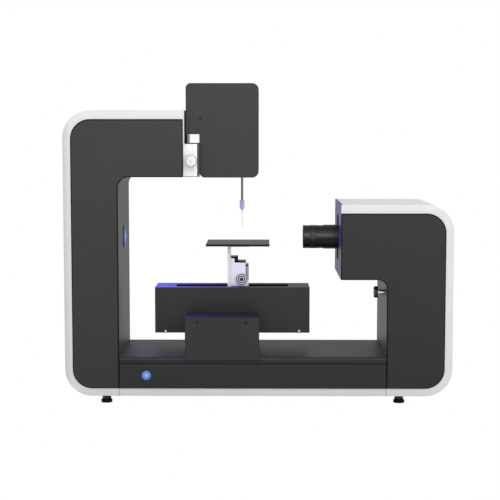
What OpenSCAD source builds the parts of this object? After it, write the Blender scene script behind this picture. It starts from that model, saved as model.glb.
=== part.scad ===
// Optical contact-angle analyser: an L-shaped illuminator column, a camera column, a dosing head
// and a three-axis sample stage on one base. Millimetres, X right, Y back, Z up, bench at z = 0.

/* [Housing] */
// Length of the whole instrument
body_length = 700; // [640:10:760]
// Depth of the white shell
body_depth = 200; // [190:1:230]
// Height of the arm above the bench
arm_top = 531; // [500:1:580]
// Height of the camera housing above the bench
housing_top = 363; // [358:1:375]
// Height of the base top above the bench
base_top = 87; // [85:1:90]
// Width of the left column
left_column = 98; // [92:1:110]
// Width of the right column
right_column = 119; // [112:1:130]
// Height of the arm box
arm_height = 119; // [110:1:125]
// Distance from the left side to the end of the arm
arm_reach = 215; // [208:1:220]
// Height of the camera housing box
housing_height = 135.5; // [132:0.5:140]
// Distance from the right side to the lens face of the housing
housing_reach = 202; // [196:1:206]
// Width of the white rim beside and under the panels
rim = 14; // [10:1:16]
// Width of the white rim over the panels
top_rim = 16; // [12:1:18]
// Wall of the white shell
shell_wall = 3; // [2:0.5:5]
// Radius of the outer corners
corner_r = 49; // [40:1:60]
// Radius under the arm
arm_fillet = 20; // [12:1:26]
// Radius under the camera housing
housing_fillet = 16; // [10:1:22]
// Thickness of the dark front and rear panels
panel_t = 5; // [4:0.5:7]
// How far the panels stand proud of the white shell
panel_proud = 2; // [1:0.5:3]
// Thickness of the inner liners
liner_t = 3; // [2:0.5:4]
// Thickness of the base top plate
base_plate_t = 6.2; // [4:0.2:7]
// Shadow gap between the base top plate and the base front panel
base_groove = 6; // [3:0.5:8]

/* [Feet] */
// Diameter of a foot pad
foot_d = 20; // [16:1:26]
// Thickness of a foot pad
foot_pad_t = 6; // [5:0.5:7]
// Diameter of a foot stud
foot_stud_d = 11; // [8:0.5:12]
// Clear height between the bench and the shell
foot_gap = 16; // [14:0.5:18]
// Distance of the feet from the middle of the depth
foot_y = 75; // [60:1:80]

/* [Power button] */
// Diameter of the lit button
button_d = 17; // [14:0.5:20]
// Width of the ring round the button
bezel_w = 1.9; // [1.5:0.1:3]

/* [Sample stage] */
// Length of the sample plate
plate_length = 117; // [90:1:124]
// Depth of the sample plate
plate_depth = 108; // [80:1:120]
// Thickness of the sample plate
plate_t = 4; // [3:0.5:6]
// Height of the sample plate top above the bench
plate_top = 287; // [285:1:289]
// Length of the X-axis box
xbox_length = 287; // [283:1:295]
// Depth of the X-axis box
xbox_depth = 72; // [70:1:80]
// Height of the X-axis box
xbox_height = 85; // [84:1:86]
// Width of the slot in the top of the X-axis box
slot_width = 40; // [40:1:50]
// Length of the pedestal
pedestal_length = 134; // [128:1:150]
// Height of the pedestal top above the base top
pedestal_height = 73; // [60:0.5:80]
// Diameter of the stage height knob
z_knob_d = 20.5; // [16:0.5:24]

/* [Dosing head] */
// Length of the dosing head
head_length = 131.4; // [126:0.2:140]
// Depth of the dosing head
head_depth = 128; // [110:1:140]
// Height of the dosing head
head_height = 169.6; // [166:0.2:185]
// Height of the notch over the head stage
head_notch = 78; // [76:1:82]
// Diameter of the head knob
head_knob_d = 20; // [16:0.5:24]
// Diameter of the outlet tube
outlet_d = 4.5; // [4:0.1:5.5]
// Diameter of the needle hub
hub_d = 8; // [6:0.5:9]
// Diameter of the needle
needle_d = 0.6; // [0.5:0.1:1.2]
// Length of the needle below its cone
needle_length = 30.5; // [24:0.5:34]
// Bore of the dosing syringe
syringe_bore = 10; // [8:0.5:12]

/* [Camera] */
// Diameter of the front part of the lens
lens_d = 43; // [38:0.5:44]
// Diameter of the rear part of the lens
lens_rear_d = 45; // [44:0.5:47]
// Length of the lens in front of the housing
lens_length = 65; // [60:1:68]
// Height of the optical axis above the bench
optic_z = 297; // [294:1:299]
// Diameter of the camera height knob
camera_knob_d = 20.5; // [18:0.5:26]
// Diameter of the backlight window
window_d = 34; // [28:1:40]

/* [Hidden] */
$fn = 48;

// Running clearance round a shaft, and the air between faces that pass each other
run = 0.06;
gap = 0.3;
// How far joined solids sink into each other before they are fused
sink = 1;

// Housing
left_x = -body_length / 2;
right_x = body_length / 2;
column_x = left_x + left_column;
right_face_x = right_x - right_column;
arm_end_x = left_x + arm_reach;
lens_face_x = right_x - housing_reach;
arm_z = arm_top - arm_height;
housing_z = housing_top - housing_height;
shell_y = body_depth / 2;
panel_y = shell_y + panel_proud;
panel_back_y = panel_y - panel_t;
base_z = foot_gap;
tray_z = base_z + rim;
base_under_z = base_top - base_plate_t;
end_plate_t = 3;
seam = 0.8;
foot_left_inset = 72;
foot_right_inset = 93.5;

// Middle of the stage, the needle and the lens in depth
axis_y = 8;

// Dosing head on the end of the arm
mount_plate_t = 3;
head_x0 = arm_end_x + mount_plate_t + 0.6;
head_x1 = head_x0 + head_length;
head_y0 = axis_y - 80;
head_y1 = head_y0 + head_depth;
head_z0 = arm_z - 1.7;
head_z1 = head_z0 + head_height;
notch_x = head_x0 + 24.4;
notch_z = head_z0 + head_notch;
needle_x = head_x1 - 31;

// Sample stage: the X-axis box stands on the pedestal, and its carriage follows the needle
stage_x = needle_x - 7.5;
flange_t = 4;
flange_top = plate_top - plate_t;
xbox_z = base_top + 33.5;
xbox_top = xbox_z + xbox_height;
xbox_x0 = needle_x - 161.4;
xbox_x1 = xbox_x0 + xbox_length;
xbox_y0 = axis_y - xbox_depth / 2;
xbox_y1 = axis_y + xbox_depth / 2;
xbox_wall = 3;
slot_x0 = xbox_x0 + 38.8;
slot_x1 = xbox_x1 - 39.7;
pedestal_x = needle_x - 35;
pedestal_x0 = pedestal_x - pedestal_length / 2;
pedestal_x1 = pedestal_x + pedestal_length / 2;
pedestal_front = -panel_y - 1;
pedestal_back = xbox_y0 - 12;
pedestal_top = base_top + pedestal_height;
pedestal_wall = 2.7;
skirt_h = 5.5;

// Racks and pinions: tooth pitch, and the share of the pitch that a tooth fills
tooth_pitch = 2.6;
tooth_share = 0.4;
tooth_up = 0.55;
tooth_down = 0.95;
function pinion_r(teeth) = teeth * tooth_pitch / (2 * PI);
z_teeth = 12;
head_teeth = 12;
camera_teeth = 18;

// A rectangle in a plane with its four corners rounded: lower left, lower right, upper right, upper left
module corner_rect(x0, z0, x1, z1, r) {
    polygon([[x0, z0 + r[0]], [x0 + r[0], z0 + r[0]], [x0 + r[0], z0],
        [x1 - r[1], z0], [x1 - r[1], z0 + r[1]], [x1, z0 + r[1]],
        [x1, z1 - r[2]], [x1 - r[2], z1 - r[2]], [x1 - r[2], z1],
        [x0 + r[3], z1], [x0 + r[3], z1 - r[3]], [x0, z1 - r[3]]]);
    if (r[0] > 0) translate([x0 + r[0], z0 + r[0]]) circle(r[0]);
    if (r[1] > 0) translate([x1 - r[1], z0 + r[1]]) circle(r[1]);
    if (r[2] > 0) translate([x1 - r[2], z1 - r[2]]) circle(r[2]);
    if (r[3] > 0) translate([x0 + r[3], z1 - r[3]]) circle(r[3]);
}

// A shape drawn in X and Z, from one depth to another
module along_y(y0, y1) {
    translate([0, y1, 0]) rotate([90, 0, 0]) linear_extrude(y1 - y0) children();
}

// A shape drawn in Y and Z, from one side to another
module along_x(x0, x1) {
    translate([x0, 0, 0]) rotate([90, 0, 90]) linear_extrude(x1 - x0) children();
}

module block(x0, x1, y0, y1, z0, z1) {
    translate([x0, y0, z0]) cube([x1 - x0, y1 - y0, z1 - z0]);
}

module rod_x(x0, x1, y, z, d) {
    translate([x0, y, z]) rotate([0, 90, 0]) cylinder(h = x1 - x0, d = d);
}

module rod_y(y0, y1, x, z, d) {
    translate([x, y1, z]) rotate([90, 0, 0]) cylinder(h = y1 - y0, d = d);
}

module rod_z(z0, z1, x, y, d) {
    translate([x, y, z0]) cylinder(h = z1 - z0, d = d);
}

// The hollow of a fillet at the inner corner x, z, open towards +X and -Z
module inner_fillet(x, z, r) {
    difference() {
        translate([x - sink, z - r]) square([r + sink, r + sink]);
        translate([x + r, z - r]) circle(r);
    }
}

// Gear teeth round the origin, with a tooth at angle 0
module pinion_shape(teeth) {
    r = pinion_r(teeth);
    half = tooth_pitch * tooth_share / 2;
    circle(r - tooth_down, $fn = 4 * teeth);
    for (i = [0 : teeth - 1]) rotate(360 * i / teeth)
        polygon([[r - tooth_down - 0.4, -half - 0.3], [r + tooth_up, -half + 0.25],
            [r + tooth_up, half - 0.25], [r - tooth_down - 0.4, half + 0.3]]);
}

// Rack teeth along +Y that point to -X from a pitch line at x = 0, with a gap at y = 0
module rack_shape(count, back) {
    half = tooth_pitch * tooth_share / 2;
    translate([tooth_down, -count * tooth_pitch]) square([back - tooth_down, 2 * count * tooth_pitch]);
    for (i = [-count : count - 1]) translate([0, (i + 0.5) * tooth_pitch])
        polygon([[tooth_down + 0.1, -half - 0.3], [-tooth_up, -half + 0.25],
            [-tooth_up, half - 0.25], [tooth_down + 0.1, half + 0.3]]);
}

// A knob along +Y from its front face at the origin: rounded nose, straight grip
module turned_knob(d, length, nose) {
    rotate([-90, 0, 0]) rotate_extrude() {
        translate([0, nose]) square([d / 2, length - nose]);
        square([d / 2 - nose, nose + 0.01]);
        intersection() {
            translate([d / 2 - nose, nose]) circle(nose);
            square([d / 2, nose + 0.01]);
        }
    }
}

// Outlines of the two columns in X and Z, drawn in by an inset at the sides and by another at the top
module left_outline(side, top) {
    corner_rect(left_x + side, base_z + side, column_x, arm_top - top,
        [corner_r - side, 0, 0, corner_r - side]);
    translate([column_x - sink, arm_z]) square([arm_end_x - column_x + sink, arm_height - top]);
    inner_fillet(column_x, arm_z, arm_fillet);
}

module right_outline(side, top) {
    corner_rect(right_face_x, base_z + side, right_x - side, housing_top - top,
        [0, corner_r - side, corner_r - side, 0]);
    translate([lens_face_x, housing_z]) square([right_face_x - lens_face_x + sink, housing_height - top]);
    mirror([1, 0]) inner_fillet(-right_face_x, housing_z, housing_fillet);
}

// The room inside the white bands, open towards the stage
module left_room(side, top) {
    corner_rect(left_x + side, base_z + side, arm_end_x + sink, arm_top - top,
        [corner_r - side, 0, 0, corner_r - side]);
}

module right_room(side, top) {
    corner_rect(lens_face_x - sink, base_z + side, right_x - side, housing_top - top,
        [0, corner_r - side, corner_r - side, 0]);
}

// The bosses of the shells take the foot studs
foot_left_x = left_x + foot_left_inset;
foot_right_x = right_x - foot_right_inset;
boss_wall = 4.5;
boss_h = 10;
stud_sink = 4;
boss_top = tray_z + boss_h;
stud_top = tray_z + stud_sink;

module foot_bosses(x) {
    for (y = [-foot_y, foot_y]) rod_z(base_z, boss_top, x, y, foot_stud_d + 2 * boss_wall);
}

module foot_bores(x) {
    for (y = [-foot_y, foot_y]) rod_z(base_z - sink, boss_top + sink, x, y, foot_stud_d + 2 * run);
}

// ---- Housing ----
module left_shell() color("white") difference() {
    union() {
        difference() {
            along_y(-shell_y, shell_y) left_outline(0, 0);
            along_y(-shell_y - sink, shell_y + sink) left_room(rim, top_rim);
            along_y(-shell_y + rim, shell_y - rim) left_room(shell_wall, shell_wall);
        }
        block(arm_end_x - end_plate_t, arm_end_x, -panel_back_y, panel_back_y, arm_z, arm_top - sink);
        foot_bosses(foot_left_x);
    }
    foot_bores(foot_left_x);
}

module right_shell() color("white") difference() {
    union() {
        difference() {
            along_y(-shell_y, shell_y) right_outline(0, 0);
            along_y(-shell_y - sink, shell_y + sink) right_room(rim, top_rim);
            along_y(-shell_y + rim, shell_y - rim) right_room(shell_wall, shell_wall);
        }
        foot_bosses(foot_right_x);
    }
    foot_bores(foot_right_x);
    block(lens_face_x - sink, lens_face_x + end_plate_t, -panel_back_y, panel_back_y,
        housing_z - sink, housing_top + sink);
}

module base_shell() color("gainsboro") difference() {
    block(column_x, right_face_x, -shell_y, shell_y, base_z, tray_z);
    block(column_x + shell_wall, right_face_x - shell_wall, -shell_y + rim, shell_y - rim,
        base_z + shell_wall, tray_z + sink);
    for (y = [-shell_y - sink, shell_y - seam]) {
        block(column_x - sink, column_x + seam, y, y + seam + sink, base_z - sink, tray_z + sink);
        block(right_face_x - seam, right_face_x + sink, y, y + seam + sink, base_z - sink, tray_z + sink);
    }
}

// The panels fill the rims at the front and at the rear
module left_front_panel() color("dimgray") along_y(-panel_y, -panel_back_y) left_outline(rim, top_rim);
module left_rear_panel() color("dimgray") along_y(panel_back_y, panel_y) left_outline(rim, top_rim);
module right_front_panel() color("dimgray") along_y(-panel_y, -panel_back_y) right_outline(rim, top_rim);
module right_rear_panel() color("dimgray") along_y(panel_back_y, panel_y) right_outline(rim, top_rim);

base_panel_top = base_under_z - base_groove;
panel_lip = 2;

// A panel of the base and the lip behind its shadow gap, on the front (side -1) or the rear (side 1)
module base_panel(side) {
    y0 = side < 0 ? -panel_y : panel_back_y;
    y1 = side < 0 ? -panel_back_y : panel_y;
    block(column_x + seam, right_face_x - seam, y0, y1, tray_z, base_panel_top);
    block(column_x, right_face_x, side < 0 ? y1 - panel_lip : y0, side < 0 ? y1 : y0 + panel_lip,
        tray_z, base_under_z);
}

// A rectangular hole for a socket in the rear panel
module socket_hole(x, z, w, h) {
    translate([x, panel_y, z]) cube([w, 4 * panel_t, h], center = true);
}

module base_front_panel() color("dimgray") difference() {
    base_panel(-1);
    rod_y(-panel_y - sink, -panel_back_y + sink, button_x, button_z, bezel_d);
}

module base_rear_panel() color("dimgray") difference() {
    base_panel(1);
    socket_hole(inlet_x, inlet_z, inlet_w, inlet_h);
    socket_hole(port_x, port_z, port_w, port_h);
}

// The front edge of the base top is rounded, and its rear edge is square
module base_top_plate() color("slategray") along_x(column_x, right_face_x) {
    translate([-shell_y + base_plate_t, base_under_z])
        square([body_depth - base_plate_t, base_plate_t]);
    intersection() {
        translate([-shell_y + base_plate_t, base_under_z]) circle(base_plate_t);
        translate([-shell_y, base_under_z]) square([body_depth, base_plate_t]);
    }
}

// The liners close the columns towards the stage: an angle under the arm or housing, and down the column
module left_liner() color("gray") difference() {
    along_y(-panel_back_y, panel_back_y) {
        translate([column_x - liner_t, tray_z]) square([liner_t, arm_z - tray_z]);
        translate([column_x - liner_t, arm_z]) square([arm_end_x - column_x + liner_t - end_plate_t, liner_t]);
        inner_fillet(column_x, arm_z, arm_fillet);
    }
    rod_x(column_x - liner_t - sink, column_x + sink, axis_y, optic_z, window_d + 6);
}

module right_liner() color("gray") difference() {
    along_y(-panel_back_y, panel_back_y) {
        translate([right_face_x, tray_z]) square([liner_t, housing_z - tray_z]);
        translate([lens_face_x + end_plate_t, housing_z])
            square([right_face_x - lens_face_x + liner_t - end_plate_t, liner_t]);
        mirror([1, 0]) inner_fillet(-right_face_x, housing_z, housing_fillet);
    }
    rod_x(right_face_x - sink, right_face_x + liner_t + sink, camera_knob_y, camera_knob_z,
        camera_shaft_d + 2 * run);
}

module lens_face_plate() color("gray") difference() {
    block(lens_face_x, lens_face_x + end_plate_t, -panel_back_y, panel_back_y,
        housing_z, housing_top);
    block(lens_face_x - sink, lens_face_x + end_plate_t + sink,
        axis_y - lens_slot_w / 2, axis_y + lens_slot_w / 2,
        optic_z - lens_slot_h / 2, optic_z + lens_slot_h / 2);
}

// ---- Backlight ----
window_y = axis_y;
lamp_depth = 40;

module backlight_bezel() color("black") difference() {
    union() {
        rod_x(column_x - liner_t, column_x, window_y, optic_z, window_d + 6);
        rod_x(column_x, column_x + 1.5, window_y, optic_z, window_d + 10);
    }
    rod_x(column_x - liner_t - sink, column_x + 2 + sink, window_y, optic_z, window_d);
}

module backlight_window() color("deepskyblue")
    rod_x(column_x - liner_t, column_x + 1, window_y, optic_z, window_d);

module backlight_lamp() color("silver") {
    rod_x(column_x - liner_t - lamp_depth, column_x - liner_t, window_y, optic_z, window_d + 4);
    block(column_x - liner_t - lamp_depth - 6, column_x - liner_t - lamp_depth + sink,
        window_y - 30, window_y + 30, optic_z - 30, optic_z + 30);
    block(column_x - liner_t - lamp_depth - 6, column_x - liner_t, window_y - 30, window_y + 30,
        optic_z - 34, optic_z - 30 + sink);
}

// ---- Power button, inlet, port and electronics ----
button_x = column_x + 49.2;
button_z = base_z + 38.3;
bezel_d = button_d + 2 * bezel_w;
bezel_y = -panel_y - 1.5;
button_travel = 1.5;

module button_bezel() color("black") difference() {
    union() {
        rod_y(bezel_y, -panel_y + sink, button_x, button_z, bezel_d);
        rod_y(-panel_y, -panel_y + 16, button_x, button_z, bezel_d);
    }
    rod_y(bezel_y - sink, -panel_y + 17, button_x, button_z, button_d + 2 * run);
}

module power_button() color("cornflowerblue")
    rod_y(bezel_y + 0.4, -panel_y + 10, button_x, button_z, button_d);

inlet_x = right_face_x - 81;
inlet_w = 27;
inlet_h = 19;
inlet_z = tray_z + 21;
inlet_depth = 20;
port_x = inlet_x - 50;
port_w = 13;
port_h = 11;
port_z = inlet_z;

module power_inlet() color("black") {
    difference() {
        union() {
            block(inlet_x - inlet_w / 2 - 3, inlet_x + inlet_w / 2 + 3, panel_y, panel_y + 1.5,
                inlet_z - inlet_h / 2 - 3, inlet_z + inlet_h / 2 + 3);
            block(inlet_x - inlet_w / 2, inlet_x + inlet_w / 2, panel_y - inlet_depth, panel_y + sink,
                inlet_z - inlet_h / 2, inlet_z + inlet_h / 2);
        }
        block(inlet_x - inlet_w / 2 + 2, inlet_x + inlet_w / 2 - 2, panel_y - inlet_depth + 3,
            panel_y + 1.5 + sink, inlet_z - inlet_h / 2 + 2, inlet_z + inlet_h / 2 - 2);
    }
    for (x = [-7, 0, 7])
        block(inlet_x + x - 1, inlet_x + x + 1, panel_y - inlet_depth + 2, panel_y - 6,
            inlet_z - 2, inlet_z + 2);
}

module data_port() color("silver") difference() {
    block(port_x - port_w / 2, port_x + port_w / 2, panel_y - 16, panel_y + 0.5,
        port_z - port_h / 2, port_z + port_h / 2);
    block(port_x - port_w / 2 + 1, port_x + port_w / 2 - 1, panel_y - 14, panel_y + 0.5 + sink,
        port_z - port_h / 2 + 1, port_z + port_h / 2 - 1);
}

supply_top = base_under_z - 10;

module power_supply() color("silver")
    block(inlet_x - 70, inlet_x + 60, -60, panel_y - inlet_depth - 2, base_z + shell_wall, supply_top);

module control_board() color("green") {
    block(column_x + 20, inlet_x - 80, -60, 60, base_z + shell_wall + 5, base_z + shell_wall + 7);
    for (x = [column_x + 26, inlet_x - 86]) for (y = [-54, 54])
        rod_z(base_z + shell_wall, base_z + shell_wall + 6, x, y, 6);
    block(column_x + 60, column_x + 110, -30, 20, base_z + shell_wall + 6, base_z + shell_wall + 17);
    block(port_x - 60, port_x - 35, 10, 50, base_z + shell_wall + 6, base_z + shell_wall + 21);
}

// ---- Feet ----
module foot(x, y) color("black") {
    rotate_extrude_at(x, y) {
        square([foot_d / 2, foot_pad_t - 2]);
        square([foot_d / 2 - 2, foot_pad_t]);
        intersection() {
            translate([foot_d / 2 - 2, foot_pad_t - 2]) circle(2);
            square([foot_d, foot_pad_t]);
        }
    }
    rod_z(foot_pad_t - sink, stud_top, x, y, foot_stud_d);
}

module rotate_extrude_at(x, y) {
    translate([x, y, 0]) rotate_extrude() children();
}

module foot_front_left() foot(foot_left_x, -foot_y);
module foot_front_right() foot(foot_right_x, -foot_y);
module foot_rear_left() foot(foot_left_x, foot_y);
module foot_rear_right() foot(foot_right_x, foot_y);

// ---- Camera: a carriage on a vertical rail, driven by a rack and a knob ----
camera_travel = 12;
lens_slot_w = 51;
lens_slot_h = lens_rear_d + 2 * camera_travel + 14;
camera_knob_y = -shell_y + 38;
camera_knob_z = housing_z - 26;
camera_shaft_d = 9;
camera_knob_x0 = right_face_x - 20.6;
camera_knob_l = 7.5;
camera_rack_y = camera_knob_y + pinion_r(camera_teeth);
rack_x0 = right_face_x + 14;
rack_x1 = rack_x0 + 8;
rack_teeth = 8;
post_x = rack_x1 + 9;
post_top = housing_top - rim - 8;
rail_w = 16;
lip_w = 7;
carriage_z0 = camera_knob_z - rack_teeth * tooth_pitch;
carriage_z1 = optic_z + 30;
camera_x0 = lens_face_x + 17;
camera_x1 = rack_x0 - 10;
camera_w = 44;
lens_x0 = lens_face_x - lens_length;
lens_step_x = lens_x0 + 38;
ring_x0 = lens_x0 + 12.3;
ring_x1 = ring_x0 + 12.2;
neck_d = lens_d - 5;

module camera_post() color("silver") difference() {
    union() {
        block(post_x, post_x + 38, -30, 45, base_z + shell_wall, post_top);
        block(rack_x1 + gap, post_x + sink, axis_y - rail_w / 2, axis_y + rail_w / 2,
            carriage_z0 - camera_travel, post_top);
        block(post_x, post_x + 8, camera_knob_y - 12, -30 + sink, camera_knob_z - 12,
            camera_knob_z + 12);
    }
    rod_x(post_x - sink, post_x + 5, camera_knob_y, camera_knob_z, camera_shaft_d + 2 * run);
}

module camera_carriage() color("lightsteelblue") {
    block(rack_x0, rack_x1, camera_rack_y + 3, 36, carriage_z0, carriage_z1);
    along_x(rack_x0, rack_x1) translate([camera_rack_y, camera_knob_z]) rack_shape(rack_teeth, 4);
    for (y = [axis_y - rail_w / 2 - gap - lip_w, axis_y + rail_w / 2 + gap])
        block(rack_x1 - sink, post_x - gap, y, y + lip_w, carriage_z0 + 5, carriage_z1 - 5);
    block(camera_x1, rack_x0 + sink, axis_y - 18, axis_y + 18, optic_z - 18, optic_z + 18);
}

module camera_body() color("darkslategray")
    block(camera_x0, camera_x1, axis_y - camera_w / 2, axis_y + camera_w / 2,
        optic_z - camera_w / 2, optic_z + camera_w / 2);

module lens_rod(x0, x1, d) {
    rod_x(x0, x1, axis_y, optic_z, d);
}

module lens_barrel() color("black") difference() {
    union() {
        lens_rod(lens_x0, ring_x0, lens_d);
        lens_rod(ring_x0 - sink, ring_x1 + sink, neck_d);
        lens_rod(ring_x1, lens_step_x, lens_d);
        lens_rod(lens_step_x, camera_x0, lens_rear_d);
    }
    lens_rod(lens_x0 - sink, lens_x0 + 6, lens_d - 5);
    lens_rod(lens_x0 + 5, camera_x0 - 3, neck_d - 8);
}

module lens_glass() color("lightblue") lens_rod(lens_x0 + 3, lens_x0 + 6, lens_d - 5);

module focus_ring() color("black") difference() {
    lens_rod(ring_x0 + gap, ring_x1 - gap, lens_d);
    lens_rod(ring_x0, ring_x1, neck_d + 2 * run);
}

module camera_knob() color("black") {
    translate([camera_knob_x0, camera_knob_y, camera_knob_z]) rotate([0, 0, -90])
        turned_knob(camera_knob_d, camera_knob_l, 1.5);
    rod_x(camera_knob_x0 + camera_knob_l - sink, post_x + 4, camera_knob_y, camera_knob_z, camera_shaft_d);
    along_x(rack_x0, rack_x1) translate([camera_knob_y, camera_knob_z]) pinion_shape(camera_teeth);
}

// ---- Head stage: a rack and pinion slide that lifts the dosing head ----
head_stage_h = 59.4;
head_stage_y0 = -shell_y + 18;
head_stage_y1 = head_stage_y0 + 52;
head_knob_x = arm_end_x + 14;
head_knob_z = arm_z + 28.5;
head_knob_y = -shell_y;
small_shaft_d = 5;
head_base_x1 = arm_end_x + 17;
head_slide_x1 = arm_end_x + 25;
head_gear_y = head_stage_y0 + 15;
gear_w = 10;
head_rack_x = head_knob_x + pinion_r(head_teeth);
pinion_room = 2 * (pinion_r(head_teeth) + tooth_up + 0.5);
rail_y = head_stage_y1 - 18;
spacer_w = 20;
spacer_z = 12;
mount_plate_w = 72;

module head_stage_base() color("white") difference() {
    union() {
        block(arm_end_x, head_base_x1, head_stage_y0, head_stage_y1, arm_z, arm_z + head_stage_h);
        block(head_base_x1 - sink, head_base_x1 + 3.5, rail_y, rail_y + 10,
            arm_z, arm_z + head_stage_h);
    }
    rod_y(head_gear_y - 0.5, head_gear_y + gear_w + 0.5, head_knob_x, head_knob_z, pinion_room);
    rod_y(head_stage_y0 - sink, head_gear_y + gear_w + 6, head_knob_x, head_knob_z,
        small_shaft_d + 2 * run);
}

module head_stage_slide() color("white") {
    difference() {
        block(head_base_x1 + gap, head_slide_x1, head_stage_y0, head_stage_y1,
            arm_z, arm_z + head_stage_h);
        block(head_base_x1, head_rack_x + 2.8, head_gear_y - 0.5, head_gear_y + gear_w + 0.5,
            arm_z - sink, arm_z + head_stage_h + sink);
        block(head_base_x1, head_base_x1 + 3.5 + gap, rail_y - gap, rail_y + 10 + gap,
            arm_z - sink, arm_z + head_stage_h + sink);
    }
    along_y(head_gear_y, head_gear_y + gear_w) translate([head_rack_x, head_knob_z])
        rack_shape(10, 3.5);
    block(head_slide_x1 - sink, notch_x, head_stage_y1 - spacer_w, head_stage_y1,
        arm_z + spacer_z, arm_z + head_stage_h - spacer_z);
}

module head_mount_plate() color("black")
    block(arm_end_x, arm_end_x + mount_plate_t, head_y0, head_y0 + mount_plate_w,
        arm_z + head_stage_h, arm_top);

module head_knob() color("silver") {
    translate([head_knob_x, head_knob_y, head_knob_z]) turned_knob(head_knob_d, 14, 4);
    rod_y(head_knob_y + 13, head_gear_y + gear_w + 5, head_knob_x, head_knob_z, small_shaft_d);
    along_y(head_gear_y, head_gear_y + gear_w) translate([head_knob_x, head_knob_z])
        pinion_shape(head_teeth);
}

// ---- Dosing head: cover, frame, motor, screw, syringe and needle ----
cover_wall = 2.5;
outlet_z = head_z0 - 45.3;
hub_length = 16;
cone_length = 4.5;
barrel_z0 = head_z0 + 14;
barrel_z1 = head_z0 + 90;
barrel_d = syringe_bore + 3;
plunger_z = head_z0 + 75;
pusher_z = head_z1 - 30;
pusher_t = 8;
screw_x = needle_x - 44;
screw_d = 6;
motor_top = head_z0 + 35;
frame_y = 30;

module head_outline(inset) {
    corner_rect(notch_x + inset, head_z0 + inset, head_x1 - inset, head_z1 - inset,
        [10 - inset, 12 - inset, 12 - inset, 0]);
    corner_rect(head_x0 + inset, notch_z + inset, notch_x + inset + sink, head_z1 - inset,
        [0, 0, 0, 9 - inset]);
}

module head_cover() color("dimgray") difference() {
    along_y(head_y0, head_y1) head_outline(0);
    along_y(head_y0 + cover_wall, head_y1 - cover_wall) head_outline(cover_wall);
    rod_z(head_z0 - sink, head_z0 + cover_wall + sink, needle_x, axis_y, outlet_d + 1);
}

module head_frame() color("silver") {
    block(notch_x + 12, head_x1 - 13, frame_y, frame_y + 6, head_z0 + cover_wall, head_z1 - cover_wall);
    difference() {
        block(needle_x - 10, needle_x + 10, axis_y - 10, frame_y + sink, head_z0 + 58, head_z0 + 68);
        rod_z(head_z0 + 57, head_z0 + 69, needle_x, axis_y, barrel_d);
    }
    difference() {
        block(screw_x - 10, screw_x + 10, axis_y - 8, frame_y + sink, head_z1 - 9.5, head_z1 - 4);
        rod_z(head_z1 - 11, head_z1 - 3, screw_x, axis_y, screw_d + 2 * run);
    }
}

module dosing_motor() color("black") difference() {
    block(screw_x - 20, screw_x + 20, axis_y - 18, frame_y, head_z0 + cover_wall, motor_top);
    rod_z(motor_top - 10, motor_top + sink, screw_x, axis_y, screw_d + 2 * run);
}

module dosing_screw() color("silver")
    rod_z(motor_top - 9, head_z1 - 5, screw_x, axis_y, screw_d);

module pusher_block() color("goldenrod") difference() {
    block(screw_x - 9, needle_x + 8, axis_y - 8, axis_y + 8, pusher_z, pusher_z + pusher_t);
    rod_z(pusher_z - sink, pusher_z + pusher_t + sink, screw_x, axis_y, screw_d + 2 * run);
}

module syringe_plunger() color("white") {
    rod_z(plunger_z, plunger_z + 6, needle_x, axis_y, syringe_bore - 0.1);
    rod_z(plunger_z + 5, pusher_z, needle_x, axis_y, syringe_bore / 2);
}

module syringe_barrel() color("lightcyan") difference() {
    rod_z(barrel_z0, barrel_z1, needle_x, axis_y, barrel_d);
    rod_z(barrel_z0 + 6, barrel_z1 + sink, needle_x, axis_y, syringe_bore);
    rod_z(barrel_z0 - sink, barrel_z0 + 7, needle_x, axis_y, 2);
}

module outlet_tube() color("silver") difference() {
    rod_z(outlet_z, barrel_z0, needle_x, axis_y, outlet_d);
    rod_z(outlet_z - sink, barrel_z0 + sink, needle_x, axis_y, 2);
}

module needle_hub() color("slateblue") difference() {
    union() {
        rod_z(outlet_z - hub_length, outlet_z, needle_x, axis_y, hub_d);
        translate([needle_x, axis_y, outlet_z - hub_length - cone_length])
            cylinder(h = cone_length + 0.5, d1 = 2 * needle_d, d2 = hub_d * 0.6);
    }
    rod_z(outlet_z - hub_length - cone_length - sink, outlet_z + sink, needle_x, axis_y, needle_d);
    rod_z(outlet_z - hub_length + 5, outlet_z + sink, needle_x, axis_y, 2);
}

module needle() color("silver")
    rod_z(outlet_z - hub_length - cone_length - needle_length, outlet_z - hub_length + 4,
        needle_x, axis_y, needle_d);

// ---- Sample stage: Y saddle on the base, X box on the saddle, Z stage on the X carriage ----
guide_h = 8;
guide_w = 12;
guide_x = 38;
y_screw_d = 5;
y_screw_z = base_top + 4;
guide_y0 = -shell_y + 20;
guide_y1 = shell_y - 5;
bearing_t = 6;

module y_guide() color("silver") {
    for (x = [pedestal_x - guide_x, pedestal_x + guide_x])
        block(x - guide_w / 2, x + guide_w / 2, guide_y0, guide_y1, base_top, base_top + guide_h);
    for (y = [guide_y0, guide_y1 - bearing_t]) difference() {
        block(pedestal_x - 8, pedestal_x + 8, y, y + bearing_t, base_top, base_top + guide_h);
        rod_y(y - sink, y + bearing_t + sink, pedestal_x, y_screw_z, y_screw_d + 2 * run);
    }
}

module y_screw() color("silver")
    rod_y(guide_y0 + 1, guide_y1 - 1, pedestal_x, y_screw_z, y_screw_d);

saddle_y0 = guide_y0 + 28;
saddle_y1 = xbox_y1 - 4;
saddle_z = base_top + guide_h + gap;
saddle_t = 9.7;
saddle_lift = 0.5;

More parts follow.
